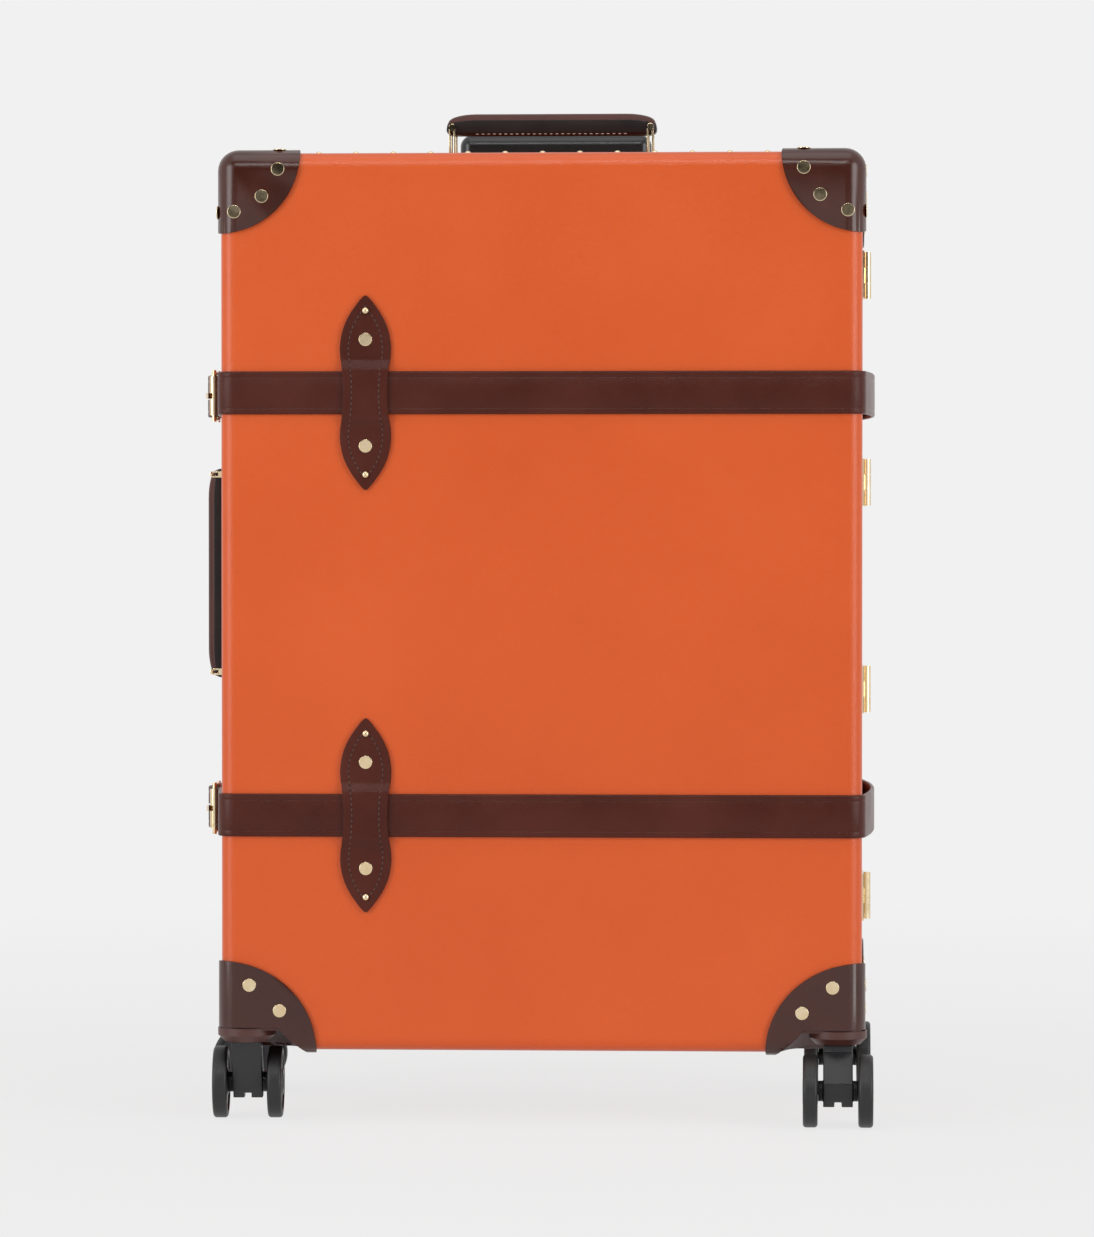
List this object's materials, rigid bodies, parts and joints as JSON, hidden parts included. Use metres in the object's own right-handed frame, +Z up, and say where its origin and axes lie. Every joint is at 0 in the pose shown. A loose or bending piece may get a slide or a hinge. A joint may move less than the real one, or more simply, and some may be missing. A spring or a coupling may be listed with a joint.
{
  "type": "suitcase",
  "caption": "Upright hard-shell suitcase on swivel casters, with leather straps, corner caps, carrying handles, a pull-out trolley handle and a hinged front lid.",
  "frame": {"origin": "on the floor, under the middle of the case body", "axes": "+Z up, the front panel faces -Y, +X to the right of someone facing the front"},
  "size_m": [0.5422, 0.3236, 0.799],
  "materials": {
    "orange_shell": "satin, fine embossed grain",
    "strap_leather": "waxed, creased edges",
    "corner_leather": "smooth, formed over the corners",
    "brass": "polished, pale gold",
    "rim_wood": "satin",
    "lining_fabric": "plain woven",
    "black_gloss": "gloss",
    "tube_aluminium": "anodised",
    "brown_plastic": "satin",
    "caster_plastic": "satin",
    "wheel_rubber": "satin",
    "axle_steel": "plain"
  },
  "bodies": {
    "base": {"base_shell": "orange_shell", "base_rim": "rim_wood", "base_lining": "lining_fabric", "base_corner_caps": "corner_leather", "base_keepers": "strap_leather", "base_rivets": "brass", "upper_strap_back": "strap_leather", "lower_strap_back": "strap_leather", "upper_strap_bow": "strap_leather", "lower_strap_bow": "strap_leather", "upper_buckle_frame": "brass", "lower_buckle_frame": "brass", "base_hinge_leaves": "brass", "hinge_pins": "brass", "lock_cases": "brass", "top_handle_brackets": "brass", "side_handle_brackets": "brass", "trolley_sleeves": "tube_aluminium", "trolley_bezel": "black_gloss", "base_caster_housings": "brown_plastic"},
    "lid": {"lid_shell": "orange_shell", "lid_rim": "rim_wood", "lid_lining": "lining_fabric", "lid_corner_caps": "corner_leather", "lid_keepers": "strap_leather", "lid_rivets": "brass", "top_studs": "brass", "upper_strap_front": "strap_leather", "lower_strap_front": "strap_leather", "upper_strap_tongue": "strap_leather", "lower_strap_tongue": "strap_leather", "lid_hinge_leaves": "brass", "lock_hasps": "brass", "lid_caster_housings": "brown_plastic"},
    "top_handle": {"top_handle_grip": "strap_leather", "top_handle_pins": "brass"},
    "side_handle": {"side_handle_grip": "strap_leather", "side_handle_pins": "brass"},
    "trolley": {"trolley_tubes": "tube_aluminium", "trolley_grip": "black_gloss"},
    "trolley_button": {"trolley_button": "black_gloss"},
    "upper_prong": {"upper_buckle_prong": "brass"},
    "upper_roller": {"upper_buckle_roller": "brass"},
    "upper_slider": {"upper_lock_slider": "brass"},
    "lower_prong": {"lower_buckle_prong": "brass"},
    "lower_roller": {"lower_buckle_roller": "brass"},
    "lower_slider": {"lower_lock_slider": "brass"},
    "front_left_fork": {"front_left_caster_fork": "caster_plastic", "front_left_caster_axle": "axle_steel"},
    "front_left_wheels": {"front_left_caster_wheels": "wheel_rubber"},
    "front_right_fork": {"front_right_caster_fork": "caster_plastic", "front_right_caster_axle": "axle_steel"},
    "front_right_wheels": {"front_right_caster_wheels": "wheel_rubber"},
    "rear_left_fork": {"rear_left_caster_fork": "caster_plastic", "rear_left_caster_axle": "axle_steel"},
    "rear_left_wheels": {"rear_left_caster_wheels": "wheel_rubber"},
    "rear_right_fork": {"rear_right_caster_fork": "caster_plastic", "rear_right_caster_axle": "axle_steel"},
    "rear_right_wheels": {"rear_right_caster_wheels": "wheel_rubber"}
  },
  "joints": [
    {"name": "lid_hinge", "type": "hinge", "parent": "base", "child": "lid", "pos_m": [0.2538, -0.045, 0.407], "axis": [0, 0, 1], "range_deg": [0, 120], "deforming": ["upper_strap_bow", "upper_strap_tongue", "lower_strap_bow", "lower_strap_tongue"]},
    {"name": "top_handle_lift", "type": "slide", "parent": "base", "child": "top_handle", "axis": [0, 0, 1], "range_m": [-0.013, 0]},
    {"name": "side_handle_lift", "type": "slide", "parent": "base", "child": "side_handle", "axis": [-1, 0, 0], "range_m": [0, 0.006]},
    {"name": "trolley_extend", "type": "slide", "parent": "base", "child": "trolley", "axis": [0, 0, 1], "range_m": [0, 0.4]},
    {"name": "trolley_press", "type": "slide", "parent": "trolley", "child": "trolley_button", "axis": [0, 0, -1], "range_m": [0, 0.0025], "stiffness_N_per_m": 800},
    {"name": "upper_prong_swing", "type": "hinge", "parent": "base", "child": "upper_prong", "pos_m": [-0.2654, -0.01, 0.57], "axis": [0, 0, -1], "range_deg": [0, 95]},
    {"name": "upper_roller_spin", "type": "hinge", "parent": "base", "child": "upper_roller", "pos_m": [-0.2654, -0.038, 0.57], "axis": [0, 0, 1], "continuous": true},
    {"name": "upper_lock_slide", "type": "slide", "parent": "base", "child": "upper_slider", "axis": [0, 0, 1], "range_m": [0, 0.006], "stiffness_N_per_m": 300},
    {"name": "lower_prong_swing", "type": "hinge", "parent": "base", "child": "lower_prong", "pos_m": [-0.2654, -0.01, 0.241], "axis": [0, 0, -1], "range_deg": [0, 95]},
    {"name": "lower_roller_spin", "type": "hinge", "parent": "base", "child": "lower_roller", "pos_m": [-0.2654, -0.038, 0.241], "axis": [0, 0, 1], "continuous": true},
    {"name": "lower_lock_slide", "type": "slide", "parent": "base", "child": "lower_slider", "axis": [0, 0, 1], "range_m": [0, 0.006], "stiffness_N_per_m": 300},
    {"name": "front_left_swivel", "type": "hinge", "parent": "lid", "child": "front_left_fork", "pos_m": [-0.2315, -0.1115, 0.02825], "axis": [0, 0, 1], "continuous": true},
    {"name": "front_left_roll", "type": "hinge", "parent": "front_left_fork", "child": "front_left_wheels", "pos_m": [-0.23265, -0.08953, 0.02825], "axis": [0.9986, 0.0523, 0], "continuous": true},
    {"name": "front_right_swivel", "type": "hinge", "parent": "lid", "child": "front_right_fork", "pos_m": [0.2315, -0.1115, 0.02825], "axis": [0, 0, 1], "continuous": true},
    {"name": "front_right_roll", "type": "hinge", "parent": "front_right_fork", "child": "front_right_wheels", "pos_m": [0.2315, -0.1335, 0.02825], "axis": [-1, 0, 0], "continuous": true},
    {"name": "rear_left_swivel", "type": "hinge", "parent": "base", "child": "rear_left_fork", "pos_m": [-0.2315, 0.1115, 0.02825], "axis": [0, 0, 1], "continuous": true},
    {"name": "rear_left_roll", "type": "hinge", "parent": "rear_left_fork", "child": "rear_left_wheels", "pos_m": [-0.2535, 0.1115, 0.02825], "axis": [0, 1, 0], "continuous": true},
    {"name": "rear_right_swivel", "type": "hinge", "parent": "base", "child": "rear_right_fork", "pos_m": [0.2315, 0.1115, 0.02825], "axis": [0, 0, 1], "continuous": true},
    {"name": "rear_right_roll", "type": "hinge", "parent": "rear_right_fork", "child": "rear_right_wheels", "pos_m": [0.2315, 0.1335, 0.02825], "axis": [1, 0, 0], "continuous": true}
  ]
}
